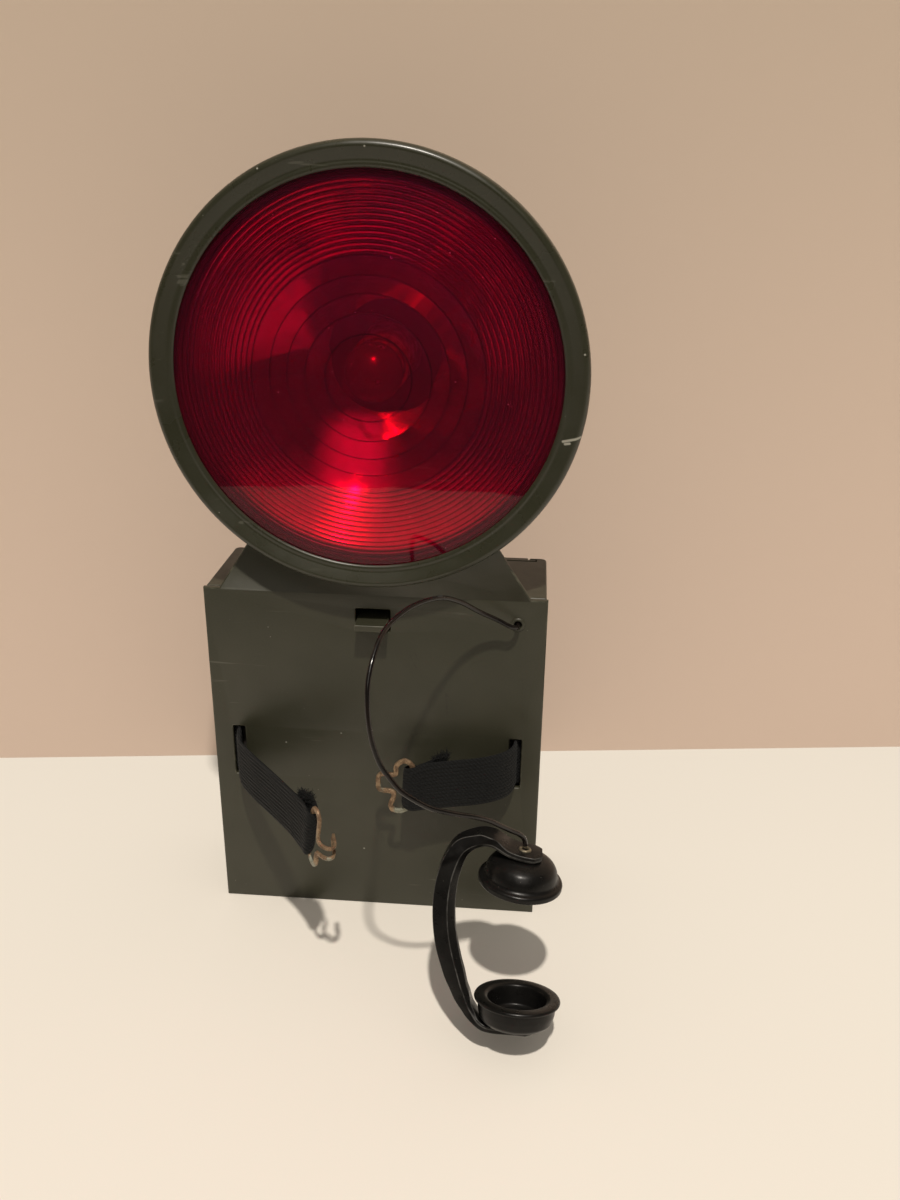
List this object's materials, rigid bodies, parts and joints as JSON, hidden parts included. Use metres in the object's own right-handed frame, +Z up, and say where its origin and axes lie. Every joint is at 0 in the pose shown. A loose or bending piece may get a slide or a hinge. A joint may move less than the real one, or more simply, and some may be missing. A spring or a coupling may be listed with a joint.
{
  "type": "morse signal lamp",
  "caption": "Small toy signal lamp: flat battery box, round head with ringed red lens, morse key, elastic straps with wire clasps, and a little telephone handset on a lead.",
  "frame": {"origin": "middle of the battery box's underside, half way between the front plate's face and the back", "axes": "+Z up, +X to the right of someone who looks at the lens, -Y out of the lens towards them"},
  "size_m": [0.081, 0.0711, 0.1602],
  "materials": {
    "case_olive": "satin",
    "bezel_olive": "satin",
    "lens_red": "gloss",
    "reflector_silver": "polished",
    "bulb_clear": "gloss",
    "brass_aged": "tarnished",
    "steel_plain": "plain",
    "insulator_dark": "matt",
    "battery_card": "matt",
    "strap_elastic": "ribbed elastic",
    "handset_black": "satin",
    "lead_brown": "gloss"
  },
  "bodies": {
    "case": {"front_plate": "case_olive", "rear_housing": "case_olive", "head_shell": "case_olive", "bezel_ring": "bezel_olive", "red_lens": "lens_red", "reflector": "reflector_silver", "bulb_glass": "bulb_clear", "bulb_base": "brass_aged", "bulb_holder": "brass_aged", "holder_contact": "brass_aged", "contact_battery_side": "brass_aged", "contact_lamp_side": "brass_aged", "battery_strip_long": "brass_aged", "battery_strip_short": "brass_aged", "housing_screw_left": "steel_plain", "housing_screw_right": "steel_plain", "bulb_filament": "steel_plain", "bulb_tip_contact": "steel_plain", "key_pin": "steel_plain", "key_spring": "steel_plain", "strap_bar_left": "steel_plain", "strap_bar_right": "steel_plain", "holder_insulator": "insulator_dark", "battery_case": "battery_card", "strap_tail_left": "strap_elastic", "strap_tail_right": "strap_elastic", "lead_knot": "lead_brown", "lamp_lead_live": "lead_brown", "lamp_lead_return": "lead_brown"},
    "door": {"battery_door": "case_olive"},
    "key": {"key_lever": "case_olive", "key_bridge": "brass_aged"},
    "strap_left_end": {"strap_left": "strap_elastic"},
    "strap_right_end": {"strap_right": "strap_elastic"},
    "clasp_left": {"strap_clasp_left": "brass_aged"},
    "clasp_right": {"strap_clasp_right": "brass_aged"},
    "lead": {"handset_lead": "lead_brown"},
    "handset": {"handset_handle": "handset_black", "earpiece": "handset_black", "mouthpiece": "handset_black", "ear_eyelet": "brass_aged", "mouth_rivet": "handset_black"}
  },
  "joints": [
    {"name": "door_slide", "type": "slide", "parent": "case", "child": "door", "axis": [0, 0, 1], "range_m": [0, 0.065]},
    {"name": "key_press", "type": "hinge", "parent": "case", "child": "key", "pos_m": [0, 0.0007, 0.0702], "axis": [1, 0, 0], "range_deg": [0, 5.5], "stiffness_Nm_per_rad": 0.05, "deforming": ["key_spring"]},
    {"name": "strap_left_swing", "type": "hinge", "parent": "case", "child": "strap_left_end", "pos_m": [-0.0296, -0.0125, 0.0385], "axis": [0, 0, -1], "range_deg": [-20, 15]},
    {"name": "strap_right_swing", "type": "hinge", "parent": "case", "child": "strap_right_end", "pos_m": [0.0296, -0.0125, 0.0385], "axis": [0, 0, 1], "range_deg": [-6, 25]},
    {"name": "clasp_left_pivot", "type": "hinge", "parent": "strap_left_end", "child": "clasp_left", "pos_m": [-0.0094, -0.0364, 0.0354], "axis": [0, 0, 1], "range_deg": [-30, 30]},
    {"name": "clasp_right_pivot", "type": "hinge", "parent": "strap_right_end", "child": "clasp_right", "pos_m": [0.0083, -0.01892, 0.0358], "axis": [0, 0, 1], "range_deg": [-12, 30]},
    {"name": "lead_swing", "type": "hinge", "parent": "case", "child": "lead", "pos_m": [0.02915, -0.0128, 0.0709], "axis": [0, 0, 1], "range_deg": [-15, 40]},
    {"name": "handset_swivel", "type": "hinge", "parent": "lead", "child": "handset", "pos_m": [0.0324, -0.03725, 0.0355], "axis": [0, 0, 1], "range_deg": [-50, 50]}
  ]
}
